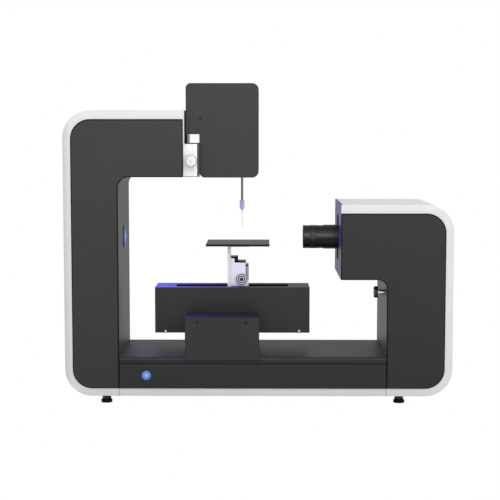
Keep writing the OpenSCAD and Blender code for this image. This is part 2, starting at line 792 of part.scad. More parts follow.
module y_saddle() color("silver") difference() {
    union() {
        block(pedestal_x0 + pedestal_wall + 2 * gap, pedestal_x1 - pedestal_wall - 2 * gap,
            saddle_y0, saddle_y1, saddle_z, saddle_z + saddle_t);
        block(pedestal_x - 54, pedestal_x + 54, xbox_y0 + 3, xbox_y1 - 3,
            saddle_z + saddle_t - sink, xbox_z);
        for (s = [-1, 1]) translate([pedestal_x + s * (guide_x + guide_w / 2 + gap + 5), 0, 0])
            block(-5, 5, saddle_y0, saddle_y1, base_top + saddle_lift, saddle_z + sink);
        block(pedestal_x - 8, pedestal_x + 8, -10, 20, base_top + saddle_lift, saddle_z + sink);
    }
    rod_y(-11, 21, pedestal_x, y_screw_z, y_screw_d + 2 * run);
}

// The pedestal stands on the base: a hood in front of the X-axis box, and low walls beside the saddle
hood_lift = saddle_z + saddle_t + 1.5;

module pedestal_room(y0, y1, z1) {
    block(pedestal_x0 + pedestal_wall, pedestal_x1 - pedestal_wall, y0, y1, base_top - sink, z1);
}

module pedestal_cover() color("dimgray") difference() {
    union() {
        block(pedestal_x0, pedestal_x1, pedestal_front, pedestal_back, base_top, pedestal_top);
        block(pedestal_x0, pedestal_x1, pedestal_back - sink, xbox_y1, base_top, xbox_z - 2 * gap);
        block(pedestal_x0, pedestal_x1, pedestal_front, pedestal_front + pedestal_wall,
            base_top - skirt_h, base_top + sink);
    }
    pedestal_room(pedestal_front + pedestal_wall, pedestal_back - pedestal_wall,
        pedestal_top - pedestal_wall);
    pedestal_room(pedestal_back - pedestal_wall - sink, pedestal_back + sink, hood_lift);
    pedestal_room(pedestal_back, xbox_y1 + sink, xbox_z);
}

x_base_t = 8;
x_rail_h = 6;
x_rail_w = 8;
x_rail_y = 22;
x_screw_d = 8;
x_screw_z = xbox_z + 24;
x_end_t = 8;
x_motor_l = 32;
x_motor_x0 = xbox_x1 - xbox_wall - x_motor_l;
x_inner_x0 = xbox_x0 + xbox_wall;

module x_base() color("silver") {
    block(x_inner_x0, xbox_x1 - xbox_wall, xbox_y0 + xbox_wall, xbox_y1 - xbox_wall,
        xbox_z, xbox_z + x_base_t);
    for (s = [-1, 1]) translate([0, axis_y + s * x_rail_y, 0])
        block(x_inner_x0, x_motor_x0, -x_rail_w / 2, x_rail_w / 2,
            xbox_z + x_base_t - sink, xbox_z + x_base_t + x_rail_h);
    for (x = [x_inner_x0, x_motor_x0 - x_end_t]) difference() {
        block(x, x + x_end_t, axis_y - 15, axis_y + 15, xbox_z + x_base_t - sink, x_screw_z + 12);
        rod_x(x - sink, x + x_end_t + sink, axis_y, x_screw_z, x_screw_d + 2 * run);
    }
}

module x_cover() color("dimgray") difference() {
    block(xbox_x0, xbox_x1, xbox_y0, xbox_y1, xbox_z, xbox_top);
    block(x_inner_x0, xbox_x1 - xbox_wall, xbox_y0 + xbox_wall, xbox_y1 - xbox_wall,
        xbox_z - sink, xbox_top - xbox_wall);
    block(slot_x0, slot_x1, axis_y - slot_width / 2, axis_y + slot_width / 2,
        xbox_top - xbox_wall - sink, xbox_top + sink);
}

module x_motor() color("black") difference() {
    block(x_motor_x0, x_motor_x0 + x_motor_l, axis_y - 17, axis_y + 17,
        xbox_z + x_base_t, xbox_z + x_base_t + 34);
    rod_x(x_motor_x0 - sink, x_motor_x0 + 8, axis_y, x_screw_z, x_screw_d + 2 * run);
}

module x_screw() color("silver")
    rod_x(x_inner_x0 + 1, x_motor_x0 + 7, axis_y, x_screw_z, x_screw_d);

// The Z stage: a fixed block with a knob, and a plate with a rack that carries the flange
z_left_x = needle_x - 27;
z_plate_t = 6;
z_block_x0 = z_left_x + z_plate_t + gap;
z_block_x1 = needle_x + 7;
z_side_x1 = needle_x + 12.3;
z_half_w = slot_width / 2 - 2;
z_foot = xbox_top + 0.4;
z_block_top = z_foot + 46;
z_knob_x = needle_x - 0.7;
z_knob_z = xbox_top + 14.4;
z_rack_x = z_knob_x - pinion_r(z_teeth);
rack_slot_w = gear_w + 1.6;
carriage_x = 40;
carriage_top = xbox_z + 50;
z_travel_down = 12;

module rack_slot(z0, z1) {
    block(z_block_x0 - sink, z_rack_x + tooth_up + 0.4, axis_y - rack_slot_w / 2,
        axis_y + rack_slot_w / 2, z0, z1);
}

module x_carriage() color("lightsteelblue") difference() {
    union() {
        block(stage_x - carriage_x, stage_x + carriage_x, axis_y - 28, axis_y + 28,
            xbox_z + x_base_t + gap, carriage_top);
        block(z_block_x0, z_side_x1, axis_y - z_half_w, axis_y + z_half_w, carriage_top - sink, z_foot);
    }
    for (s = [-1, 1]) translate([0, axis_y + s * x_rail_y, 0])
        block(stage_x - carriage_x - sink, stage_x + carriage_x + sink, -x_rail_w / 2 - gap,
            x_rail_w / 2 + gap, xbox_z + x_base_t, xbox_z + x_base_t + x_rail_h + gap);
    rod_x(stage_x - carriage_x - sink, stage_x + carriage_x + sink, axis_y, x_screw_z,
        x_screw_d + 2 * run);
    rack_slot(z_knob_z - rack_teeth * tooth_pitch - z_travel_down - 3, z_foot + sink);
}

module z_stage_base() color("lavender") difference() {
    union() {
        block(z_block_x0, z_block_x1, axis_y - z_half_w, axis_y + z_half_w, z_foot, z_block_top);
        block(z_block_x0, z_block_x0 + 10, axis_y - z_half_w, axis_y + z_half_w, z_foot,
            z_block_top + 8);
        block(z_block_x1 - sink, z_side_x1, axis_y - z_half_w, axis_y + z_half_w, z_foot,
            z_block_top - 7);
    }
    rack_slot(z_foot - sink, z_block_top + 10);
    rod_y(axis_y - rack_slot_w / 2, axis_y + rack_slot_w / 2, z_knob_x, z_knob_z, pinion_room);
    rod_y(axis_y - z_half_w - sink, axis_y + z_half_w - 4, z_knob_x, z_knob_z,
        small_shaft_d + 2 * run);
}

module z_slide() color("lavender") {
    block(z_left_x, z_left_x + z_plate_t, axis_y - z_half_w, axis_y + z_half_w,
        xbox_top - 1.6, flange_top);
    block(z_left_x, needle_x + 13, axis_y - z_half_w, axis_y + z_half_w,
        flange_top - flange_t, flange_top);
    along_y(axis_y - gear_w / 2, axis_y + gear_w / 2) translate([z_rack_x, z_knob_z])
        mirror([1, 0]) rack_shape(rack_teeth, z_rack_x - z_left_x - z_plate_t + sink);
}

module z_knob() color("black") {
    translate([z_knob_x, axis_y - z_half_w - 14.3, z_knob_z]) turned_knob(z_knob_d, 14, 1);
    rod_y(axis_y - z_half_w - 2, axis_y + z_half_w - 5, z_knob_x, z_knob_z, small_shaft_d);
    along_y(axis_y - gear_w / 2, axis_y + gear_w / 2) translate([z_knob_x, z_knob_z])
        pinion_shape(z_teeth);
}

module sample_plate() color("dimgray")
    block(stage_x - plate_length / 2, stage_x + plate_length / 2, axis_y - plate_depth / 2,
        axis_y + plate_depth / 2, flange_top, plate_top);

left_shell();
left_front_panel();
left_rear_panel();
left_liner();
base_shell();
base_front_panel();
base_rear_panel();
base_top_plate();
right_shell();
right_front_panel();
right_rear_panel();
right_liner();
lens_face_plate();
backlight_bezel();
backlight_window();
backlight_lamp();
button_bezel();
power_button();
power_inlet();
data_port();
power_supply();
control_board();
foot_front_left();
foot_front_right();
foot_rear_left();
foot_rear_right();
camera_post();
camera_carriage();
camera_body();
lens_barrel();
lens_glass();
focus_ring();
camera_knob();
head_stage_base();
head_stage_slide();
head_mount_plate();
head_knob();
head_cover();
head_frame();
dosing_motor();
dosing_screw();
pusher_block();
syringe_plunger();
syringe_barrel();
outlet_tube();
needle_hub();
needle();
pedestal_cover();
y_guide();
y_screw();
y_saddle();
x_base();
x_cover();
x_motor();
x_screw();
x_carriage();
z_stage_base();
z_slide();
z_knob();
sample_plate();
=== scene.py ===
import math

import bpy
import numpy as np
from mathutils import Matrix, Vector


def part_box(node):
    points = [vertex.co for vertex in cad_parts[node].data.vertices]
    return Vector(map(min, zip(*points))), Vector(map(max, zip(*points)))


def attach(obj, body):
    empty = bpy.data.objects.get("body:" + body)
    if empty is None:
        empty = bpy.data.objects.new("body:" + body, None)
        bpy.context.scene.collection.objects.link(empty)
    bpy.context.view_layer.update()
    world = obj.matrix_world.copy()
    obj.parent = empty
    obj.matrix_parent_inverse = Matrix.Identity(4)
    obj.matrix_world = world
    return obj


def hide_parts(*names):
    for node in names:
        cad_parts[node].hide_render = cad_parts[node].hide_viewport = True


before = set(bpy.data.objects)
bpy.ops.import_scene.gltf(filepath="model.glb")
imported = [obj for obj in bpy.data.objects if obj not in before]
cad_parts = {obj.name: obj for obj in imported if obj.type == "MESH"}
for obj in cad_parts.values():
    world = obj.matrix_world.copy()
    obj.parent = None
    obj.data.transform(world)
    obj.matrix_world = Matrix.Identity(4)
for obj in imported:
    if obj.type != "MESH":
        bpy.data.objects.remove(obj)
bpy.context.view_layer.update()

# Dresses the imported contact-angle analyser: finishes for its panels, shells, stages and optics, the
# small parts that a hand meets (knurled knobs, screws, lens rings), and the studio round it.
# The frame is in metres, X right, Y back, Z up, with the bench at z = 0. Lengths of small parts are
# written in mm and taken times MM.

MM = 0.001
LEFT, RIGHT, FRONT, REAR, UP = (-1, 0, 0), (1, 0, 0), (0, -1, 0), (0, 1, 0), (0, 0, 1)

# ---- The frame's own measures ----------------------------------------------------------------

low, high = {}, {}
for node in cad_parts:
    low[node], high[node] = (np.array(corner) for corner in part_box(node))


def middle(node):
    """The middle of a CAD node's box."""
    return (low[node] + high[node]) / 2


def radius_of(node, axis):
    """The radius in mm of a round CAD node: half of its box along axis 0, 1 or 2."""
    return (high[node][axis] - low[node][axis]) / MM / 2


# ---- Surfaces ----------------------------------------------------------------------------------

SHARP_ANGLE = 30      # degrees: sharper edges of a new piece show as edges
ARC_POINTS = 14       # points on each rounded corner of a plate
SMALLEST_R = 0.05     # mm: what a sharp corner of a plate is rounded by


def surface(name, rings, finish, body, loop=False):
    """A closed skin through rings of points: rings[i, j] is point j of ring i, rings run along the
    piece and each ring closes on itself. The first and last ring are capped with flat faces, or
    with loop they are joined to each other."""
    count, around = rings.shape[:2]
    ring, step = np.meshgrid(np.arange(count if loop else count - 1), np.arange(around),
                             indexing="ij")
    after = (step + 1) % around
    above = (ring + 1) % count * around
    quads = np.stack([ring * around + step, ring * around + after, above + after, above + step],
                     axis=-1)
    faces = quads.reshape(-1, 4).tolist()
    if not loop:
        faces.append(list(range(around))[::-1])
        faces.append(list(range((count - 1) * around, count * around)))
    mesh = bpy.data.meshes.new(name)
    mesh.from_pydata(rings.reshape(-1, 3).tolist(), [], faces)
    mesh.validate()
    piece = bpy.data.objects.new(name, mesh)
    bpy.context.scene.collection.objects.link(piece)
    mesh.polygons.foreach_set("use_smooth", [True] * len(mesh.polygons))
    mesh.set_sharp_from_angle(angle=math.radians(SHARP_ANGLE))
    mesh.materials.append(finish)
    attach(piece, body)
    return piece


def frame_of(axis):
    """Three directions for a turned piece: two across and one along the axis, right-handed."""
    along = np.array(axis, float)
    across = np.array([0.0, 0.0, 1.0]) if abs(along[2]) < 0.5 else np.array([1.0, 0.0, 0.0])
    second = np.cross(along, across)
    return across, second, along


def turned(name, origin, axis, profile, finish, body, around=64, ripple=None, loop=False):
    """A turned piece: each profile pair (distance along the axis, radius) in mm gives a ring
    origin + along * axis + radius * (cos a, sin a). ripple(a, ring) scales the radius, as a
    knurl."""
    across, second, along = frame_of(axis)
    angle = np.arange(around) * 2 * np.pi / around
    rise, radius = np.array(profile, float).T * MM
    radius = radius[:, None] * np.ones(around)
    if ripple is not None:
        radius = radius * ripple(angle[None, :], np.arange(len(rise))[:, None])
    rings = (np.array(origin, float) + rise[:, None, None] * along
             + (radius * np.cos(angle))[..., None] * across
             + (radius * np.sin(angle))[..., None] * second)
    return surface(name, rings, finish, body, loop)


def edge_ways(corners):
    """The corner points of an outline, and the unit way of the edge before and after each."""
    points = np.array([c[:2] for c in corners], float)
    before = points - np.roll(points, 1, axis=0)
    after = np.roll(points, -1, axis=0) - points
    before /= np.linalg.norm(before, axis=1)[:, None]
    after /= np.linalg.norm(after, axis=1)[:, None]
    return points, before, after


def corner_path(corners):
    """The outline of a plate from corners (x, z, radius): each corner is an arc of its radius,
    tangent to the edge before and after it, whichever way the outline turns there."""
    points, before, after = edge_ways(corners)
    turn = np.arctan2(before[:, 0] * after[:, 1] - before[:, 1] * after[:, 0],
                      (before * after).sum(axis=1))
    radius = np.array([c[2] for c in corners], float)
    reach = radius * np.tan(np.abs(turn) / 2)
    start = points - before * reach[:, None]
    side = np.sign(turn)[:, None] * np.stack([-before[:, 1], before[:, 0]], axis=1)
    centre = start + side * radius[:, None]
    share = np.linspace(0, 1, ARC_POINTS)[None, :] * turn[:, None]
    spoke = start - centre
    x = spoke[:, :1] * np.cos(share) - spoke[:, 1:] * np.sin(share) + centre[:, :1]
    z = spoke[:, :1] * np.sin(share) + spoke[:, 1:] * np.cos(share) + centre[:, 1:]
    return np.stack([x, z], axis=-1).reshape(-1, 2)


def inset_corners(corners, inset):
    """The same corners moved inwards by an inset, counted for an outline that runs anticlockwise:
    each edge moves along its own normal, outer arcs shrink and inner arcs grow."""
    points, before, after = edge_ways(corners)
    cross = before[:, 0] * after[:, 1] - before[:, 1] * after[:, 0]
    moved = points + inset * (after - before) / cross[:, None]
    radius = np.array([c[2] for c in corners], float) - inset * np.sign(cross)
    return [(x, z, max(r, SMALLEST_R * MM)) for (x, z), r in zip(moved, radius)]


def plate(name, corners, back, front, chamfer, finish, body):
    """A plate in the X and Z plane, from depth back to depth front, whose front edge is cut back
    by a chamfer in mm: the outline, then the outline moved inwards by the chamfer."""
    cut = chamfer * MM
    steps = [(0.0, back), (0.0, front - math.copysign(cut, front - back)), (cut, front)]
    rings = []
    for inset, depth in steps:
        path = corner_path(inset_corners(corners, inset))
        rings.append(np.stack([path[:, 0], np.full(len(path), depth), path[:, 1]], axis=-1))
    rings = np.array(rings)
    if front > back:
        rings = rings[:, ::-1]
    return surface(name, rings, finish, body)


def oblong(x0, x1, z0, z1, radius=0.1):
    """The four corners of an oblong plate from x0 to x1 and from z0 to z1, each with a radius in
    mm."""
    return [(x, z, radius * MM) for x, z in ((x0, z0), (x1, z0), (x1, z1), (x0, z1))]


# ---- Finishes ----------------------------------------------------------------------------------

CLOUD_RANGE = (0.3, 0.7)      # the part of a slow noise that a colour's drift follows
CLOUD_DETAIL = 3
GRAIN_RANGE = (0.25, 0.75)    # the part of a fine noise that the roughness follows
ROUGH_SPREAD = 0.12           # how far the roughness runs either way, as a share of it
UPWARD = (0.5, 0.9)           # between these upward parts of its normal a face starts to look up
LIT_ROUGH = 0.25              # the roughness of a lit plastic face
GLASS_PATCHES = 90            # patches of tint per metre in glass
GLASS_DRIFT = 0.85            # the least share of its colour in them
RIM = 15.0                    # mm: how far from its edge the rim of a shell is crowned
CROWN = {"left": 0.68, "right": 0.32, "foot": 0.25, "top": 0.50}


def new_finish(name):
    """A new node material, with its node tree and its shader."""
    made = bpy.data.materials.new(name)
    made.use_nodes = True
    return made, made.node_tree, made.node_tree.nodes["Principled BSDF"]


def give(node, values):
    """Sets a node's inputs, by name or by place, to values."""
    for socket, value in values.items():
        node.inputs[socket].default_value = value


def add(tree, kind, links=(), values=None, **settings):
    """A node of a kind with its settings, its input values and the links into it."""
    node = tree.nodes.new(kind)
    for setting, value in settings.items():
        setattr(node, setting, value)
    give(node, values or {})
    for source, socket in links:
        tree.links.new(source, node.inputs[socket])
    return node


def own_place(tree):
    """Where a point lies in its piece's Object coordinates."""
    return add(tree, "ShaderNodeTexCoord").outputs["Object"]


def noise(tree, place, scale, detail=2):
    """A soft noise with scale patches per metre."""
    return add(tree, "ShaderNodeTexNoise", [(place, "Vector")],
               {"Scale": scale, "Detail": detail}).outputs["Fac"]


def ranged(tree, source, start, end, first, last):
    """A value that runs from first to last while the source runs from start to end."""
    return add(tree, "ShaderNodeMapRange", [(source, 0)],
               {1: float(start), 2: float(end), 3: first, 4: last}).outputs[0]


def joined(tree, one, other, operation):
    """Two values joined by a sum, a product or another operation."""
    return add(tree, "ShaderNodeMath", [(one, 0), (other, 1)], operation=operation).outputs[0]


def split(tree, vector):
    """The X, Y and Z of a vector, by name."""
    return add(tree, "ShaderNodeSeparateXYZ", [(vector, 0)]).outputs


def ramp(tree, share, first, last, interpolation="LINEAR"):
    """A colour that runs from first to last with a share from 0 to 1."""
    blend = add(tree, "ShaderNodeValToRGB", [(share, 0)])
    blend.color_ramp.interpolation = interpolation
    blend.color_ramp.elements[0].color = (*first, 1)
    blend.color_ramp.elements[1].color = (*last, 1)
    return blend.outputs[0]


def coated(name, colour, rough, metallic=0.0, cloud=0.05, cloud_size=60, grain_size=0.8,
           grain=0.04, stretch=(1, 1, 1), coat=0.0, specular=0.5, painted_height_light=None, crown=None,
           painted_facing_light=None):
    """A paint, moulding or metal: its colour drifts slowly by the share cloud over patches of
    cloud_size mm, and a fine grain of grain_size mm roughens and dents it. stretch draws the grain
    out along an axis, as brushing does. The height shares paint shade and light into the colour:
    they give its share at the bench and at the top of the head. crown gives the top of a shell
    whose rim is crowned. The facing shares paint light and shade by which way a face looks: they
    give the colour's share on faces that look up and on all others."""
    made, tree, shader = new_finish(name)
    place = own_place(tree)
    shade = ranged(tree, noise(tree, place, 1 / (cloud_size * MM), CLOUD_DETAIL), *CLOUD_RANGE,
                   1 - cloud, 1 + cloud)
    # Painted shade and light: the colour runs darker towards the bench and lighter towards the top
    if painted_height_light:
        share = ranged(tree, split(tree, place)["Z"], 0.0, high["head_cover"][2], *painted_height_light)
        shade = joined(tree, shade, share, "MULTIPLY")
    # Painted light and shade: the colour's share depends on which way the face looks
    if painted_facing_light:
        upward, aside = painted_facing_light
        normal = add(tree, "ShaderNodeNewGeometry").outputs["True Normal"]
        share = ranged(tree, split(tree, normal)["Z"], *UPWARD, aside, upward)
        shade = joined(tree, shade, share, "MULTIPLY")
    tint = add(tree, "ShaderNodeVectorMath", [(shade, "Scale")], {0: colour}, operation="SCALE")
    tree.links.new(tint.outputs[0], shader.inputs["Base Color"])
    drawn = add(tree, "ShaderNodeMapping", [(place, "Vector")], {"Scale": stretch})
    fine = noise(tree, drawn.outputs[0], 1 / (grain_size * MM))
    gloss = ranged(tree, fine, *GRAIN_RANGE, rough * (1 - ROUGH_SPREAD),
                   rough * (1 + ROUGH_SPREAD))
    tree.links.new(gloss, shader.inputs["Roughness"])
    normal = add(tree, "ShaderNodeBump", [(fine, "Height")],
                 {"Strength": 1.0, "Distance": grain * grain_size * MM}).outputs[0]
    if crown:
        normal = crowned(tree, place, normal, crown)
    tree.links.new(normal, shader.inputs["Normal"])
    give(shader, {"Metallic": metallic, "Coat Weight": coat, "Specular IOR Level": specular})
    return made


def crowned(tree, place, normal, top):
    """Tilts the normal outwards over the last RIM mm at the sides, the foot and the top of a
    shell, as on a rim with a slight crown."""
    left, right = low["left_shell"][0], high["right_shell"][0]
    foot, rim = low["left_shell"][2], RIM * MM
    parts = split(tree, place)
    tilts = [ranged(tree, parts[axis], start, end, 0.0, way) for axis, start, end, way in (
        ("X", left + rim, left, -CROWN["left"]), ("X", right - rim, right, CROWN["right"]),
        ("Z", foot + rim, foot, -CROWN["foot"]), ("Z", top - rim, top, CROWN["top"]))]
    lean = add(tree, "ShaderNodeCombineXYZ", [(joined(tree, tilts[0], tilts[1], "ADD"), "X"),
                                              (joined(tree, tilts[2], tilts[3], "ADD"), "Z")])
    total = add(tree, "ShaderNodeVectorMath", [(normal, 0), (lean.outputs[0], 1)],
                operation="ADD")
    return add(tree, "ShaderNodeVectorMath", [(total.outputs[0], 0)],
               operation="NORMALIZE").outputs[0]


def lit(name, centre, reach, core, edge, strength, specular=0.0):
    """A glowing face: the lit plastic of the window and the button, and a painted glow on the bezel.
    Its glow runs from the core colour at the centre to the edge colour at reach mm from it, along
    the distance from the centre in Object coordinates."""
    made, tree, shader = new_finish(name)
    spoke = add(tree, "ShaderNodeVectorMath", [(own_place(tree), 0)], {1: tuple(centre)},
                operation="DISTANCE").outputs["Value"]
    blend = ramp(tree, ranged(tree, spoke, 0.0, reach * MM, 0.0, 1.0), core, edge, "EASE")
    tree.links.new(blend, shader.inputs["Base Color"])
    tree.links.new(blend, shader.inputs["Emission Color"])
    give(shader, {"Emission Strength": strength, "Roughness": LIT_ROUGH,
                  "Specular IOR Level": specular})
    return made


def clear(name, colour, rough=0.02, index=1.5):
    """Clear or coated glass, with a faint drift of its tint."""
    made, tree, shader = new_finish(name)
    tint = ramp(tree, noise(tree, own_place(tree), GLASS_PATCHES),
                [c * GLASS_DRIFT for c in colour], colour)
    tree.links.new(tint, shader.inputs["Base Color"])
    give(shader, {"Transmission Weight": 1.0, "Roughness": rough, "IOR": index})
    return made


WHITE = (0.70, 0.695, 0.705)
# The height and facing shares in the finishes below are painted light and shade
left_white = coated("left_white", WHITE, 0.42, cloud=0.015, grain_size=0.7, grain=0.03,
                    painted_height_light=(0.95, 1.08), crown=high["left_shell"][2])
right_white = coated("right_white", WHITE, 0.42, cloud=0.015, grain_size=0.7, grain=0.03,
                     painted_height_light=(0.97, 1.08), crown=high["right_shell"][2])
panel_paint = coated("panel_paint", (0.0255, 0.0235, 0.0245), 0.5, cloud_size=90, grain=0.05,
                     painted_height_light=(0.50, 1.28))
# A darker copy of the panel paint: painted shade on the right panels and the base panels
right_paint = coated("right_paint", (0.0165, 0.0150, 0.0158), 0.5, cloud_size=90, grain=0.05,
                     specular=0.46, painted_height_light=(0.45, 1.34))
box_paint = coated("box_paint", (0.0255, 0.0242, 0.0245), 0.5, cloud_size=70, grain=0.05,
                   painted_height_light=(0.55, 1.28))
deck_paint = coated("deck_paint", (0.0275, 0.0262, 0.0265), 0.5, cloud_size=70, grain=0.05,
                    specular=0.35, painted_height_light=(0.74, 1.32), painted_facing_light=(0.45, 1.0))
hood_paint = coated("hood_paint", (0.020, 0.0190, 0.0193), 0.5, cloud_size=70, grain=0.05,
                    specular=0.32, painted_facing_light=(0.4, 1.15))
black_gloss = coated("black_gloss", (0.007, 0.007, 0.008), 0.30, grain=0.015, cloud=0.08,
                     specular=0.4)
seam_grey = coated("seam_grey", (0.06, 0.06, 0.06), 0.7, specular=0.2)
lens_black = coated("lens_black", (0.005, 0.005, 0.005), 0.33, grain=0.015, cloud=0.08,
                    specular=0.20)
liner_paint = coated("liner_paint", (0.030, 0.030, 0.031), 0.46, grain=0.05)
inner_paint = coated("inner_paint", (0.027, 0.027, 0.028), 0.46, grain=0.05, specular=0.42)
face_paint = coated("face_paint", (0.029, 0.027, 0.046), 0.42, specular=0.38)
base_paint = coated("base_paint", (0.026, 0.026, 0.027), 0.5, grain=0.03, specular=0.25)
black_rubber = coated("black_rubber", (0.005, 0.005, 0.005), 0.6, grain_size=0.5, grain=0.08,
                      specular=0.12)
black_plastic = coated("black_plastic", (0.011, 0.011, 0.012), 0.4, grain_size=0.5)
navy_plastic = coated("navy_plastic", (0.012, 0.022, 0.060), 0.25, grain_size=0.5, grain=0.02)
mark_plastic = coated("mark_plastic", (0.16, 0.30, 0.62), 0.3, grain_size=0.5, grain=0.02)
black_anodised = coated("black_anodised", (0.012, 0.012, 0.013), 0.34, grain=0.02, cloud=0.08)
# Painted shade: the sides of the sample plate are much darker than its top
plate_anodised = coated("plate_anodised", (0.033, 0.032, 0.034), 0.45, grain=0.03, specular=0.24,
                        painted_facing_light=(0.72, 0.12))
# A grey-blue for painted shade at the head slide's right end
shade_anodised = coated("shade_anodised", (0.085, 0.082, 0.11), 0.45, grain=0.03, specular=0.3)
matt_black = coated("matt_black", (0.006, 0.006, 0.006), 0.75, specular=0.15)
stage_aluminium = coated("stage_aluminium", (0.85, 0.815, 0.97), 0.45, metallic=0.35, grain=0.03,
                         stretch=(1, 8, 1))
satin_aluminium = coated("satin_aluminium", (0.80, 0.79, 0.84), 0.45, metallic=0.35, grain=0.03,
                         stretch=(1, 8, 1))
# A grey for painted shade: along the head stage's foot and round the head knob
shade_grey = coated("shade_grey", (0.24, 0.24, 0.25), 0.4, metallic=0.5, grain=0.03,
                        stretch=(1, 1, 8))
# A grey for the painted shade on the height stage's right-hand strip
shade_aluminium = coated("shade_aluminium", (0.34, 0.34, 0.38), 0.45, metallic=0.3, grain=0.03)
knob_aluminium = coated("knob_aluminium", (0.82, 0.82, 0.83), 0.5, grain=0.02)
bright_aluminium = coated("bright_aluminium", (0.93, 0.93, 0.93), 0.5, grain=0.02,
                          stretch=(1, 1, 8), specular=0.6)
brushed_steel = coated("brushed_steel", (0.50, 0.50, 0.51), 0.30, metallic=1.0, grain=0.03,
                       stretch=(6, 6, 0.5))
tube_steel = coated("tube_steel", (0.25, 0.25, 0.26), 0.26, metallic=0.9, grain=0.02,
                    stretch=(6, 6, 0.5))
polished_steel = coated("polished_steel", (0.72, 0.72, 0.74), 0.16, metallic=1.0, grain_size=0.3,
                        grain=0.01)
screw_steel = coated("screw_steel", (0.62, 0.62, 0.63), 0.28, metallic=1.0, grain_size=0.3)
turned_brass = coated("turned_brass", (0.62, 0.44, 0.18), 0.32, metallic=1.0, grain_size=0.4)
green_board = coated("green_board", (0.02, 0.13, 0.05), 0.45, cloud=0.12, cloud_size=12)
hub_plastic = coated("hub_plastic", (0.50, 0.54, 0.80), 0.2, cloud=0.08, cloud_size=6, coat=0.3)
glass_tube = clear("glass_tube", (0.93, 0.96, 0.97))
coated_glass = clear("coated_glass", (0.35, 0.38, 0.55), 0.03, 1.6)

# The backlight's glow is brightest behind the middle of its window, towards the rear: its
# darker front is painted shade of the window's recess
backlight_face = lit("backlight_face", middle("backlight_window") + (0, 14 * MM, 0), 24,
                     (0.34, 0.60, 0.95), (0.002, 0.03, 0.36), 0.42)
# The bezel is no lamp: its blue glow is painted light from the window beside it
bezel_painted_glow = lit("bezel_painted_glow", middle("backlight_window"), 23,
                 (0.01, 0.05, 0.60), (0.03, 0.032, 0.04), 0.4, specular=0.08)
button_face = lit("button_face", middle("power_button"), 9,
                  (0.62, 0.80, 1.0), (0.05, 0.12, 0.30), 0.75)

FINISHES = {
    left_white: ["left_shell", "base_shell"],
    right_white: ["right_shell"],
    panel_paint: ["left_front_panel", "left_rear_panel"],
    right_paint: ["right_front_panel", "right_rear_panel", "base_front_panel", "base_rear_panel"],
    box_paint: ["head_cover"],
    deck_paint: ["x_cover"],
    hood_paint: ["pedestal_cover"],
    liner_paint: ["right_liner"],
    inner_paint: ["left_liner"],
    bezel_painted_glow: ["backlight_bezel"],
    face_paint: ["lens_face_plate"],
    base_paint: ["base_top_plate"],
    black_rubber: ["foot_front_left", "foot_front_right", "foot_rear_left", "foot_rear_right"],
    black_plastic: ["power_inlet", "dosing_motor", "x_motor"],
    navy_plastic: ["button_bezel"],
    lens_black: ["lens_barrel"],
    black_anodised: ["camera_body", "focus_ring", "x_carriage"],
    polished_steel: ["camera_knob"],
    plate_anodised: ["sample_plate"],
    satin_aluminium: ["camera_post", "camera_carriage", "head_frame", "y_saddle", "z_slide",
                      "z_knob", "backlight_lamp"],
    stage_aluminium: ["z_stage_base"],
    matt_black: ["head_mount_plate", "x_base"],
    bright_aluminium: ["head_stage_base", "head_stage_slide"],
    knob_aluminium: ["head_knob"],
    brushed_steel: ["data_port", "power_supply", "y_guide", "y_screw", "x_screw", "dosing_screw",
                    "syringe_plunger"],
    tube_steel: ["outlet_tube", "needle"],
    turned_brass: ["pusher_block"],
    green_board: ["control_board"],
    hub_plastic: ["needle_hub"],
    glass_tube: ["syringe_barrel"],
    coated_glass: ["lens_glass"],
    backlight_face: ["backlight_window"],
    button_face: ["power_button"],
}

# How far the edges of a CAD node are broken, in mm
EDGES = {"left_front_panel": 1.8, "left_rear_panel": 1.8, "right_front_panel": 1.8,
         "right_rear_panel": 1.8, "base_front_panel": 0.4, "base_rear_panel": 0.4,
         "x_cover": 0.8, "pedestal_cover": 0.8, "head_cover": 0.6, "head_mount_plate": 0.4,
         "head_stage_base": 0.5, "head_stage_slide": 0.4, "z_stage_base": 0.4, "z_slide": 0.4,
         "sample_plate": 0.4, "y_saddle": 0.4, "y_guide": 0.3, "x_base": 0.3, "x_carriage": 0.3}
WELD = 0.002          # mm: points nearer than this are one before an edge is broken
BROKEN_ANGLE = 40     # degrees: only sharper edges are broken


def dress(node, finish, edge):
    """Gives a CAD node its finish, and where edge is set, breaks its edges by that many mm. The
    broken edges of the front and rear panels are matt black: painted shade along the line where the
    panels meet the rim."""
    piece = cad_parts[node]
    piece.data.materials.clear()
    piece.data.materials.append(finish)
    if edge:
        weld = piece.modifiers.new("weld", "WELD")
        weld.merge_threshold = WELD * MM
        bevel = piece.modifiers.new("edge", "BEVEL")
        bevel.width = edge * MM
        bevel.segments = 2
        bevel.limit_method = "ANGLE"
        bevel.angle_limit = math.radians(BROKEN_ANGLE)
        bevel.harden_normals = True
        if node.endswith("_panel"):
            # Matt black on the panels' broken edges is painted shade
            piece.data.materials.append(matt_black)
            bevel.material = 1
            bevel.use_clamp_overlap = False


for finish, nodes in FINISHES.items():
    for node in nodes:
        dress(node, finish, EDGES.get(node, 0.0))


# ---- Painted joint shadows and strips of the housing -------------------------------------------

# In mm, as all sizes of the small parts are
JOINT = 0.3           # how far the painted shadow of the joint shows past the panels
PANEL_R = 35.0        # the outer corners of the panels
OPENING = 0.5         # how far the joint stands back from the faces of the opening
ARM_R = 19.5          # the joint's arc where the left column meets the arm
HOUSING_R = 15.5      # and where the right column meets the camera housing
FLOOR_Z = 60.0        # the joint's height between the columns
SEAM = 0.8            # the width of the seams at the ends of the base's white strip
ARM_STRIP = 2.0       # the width of the white strip on the end of the arm
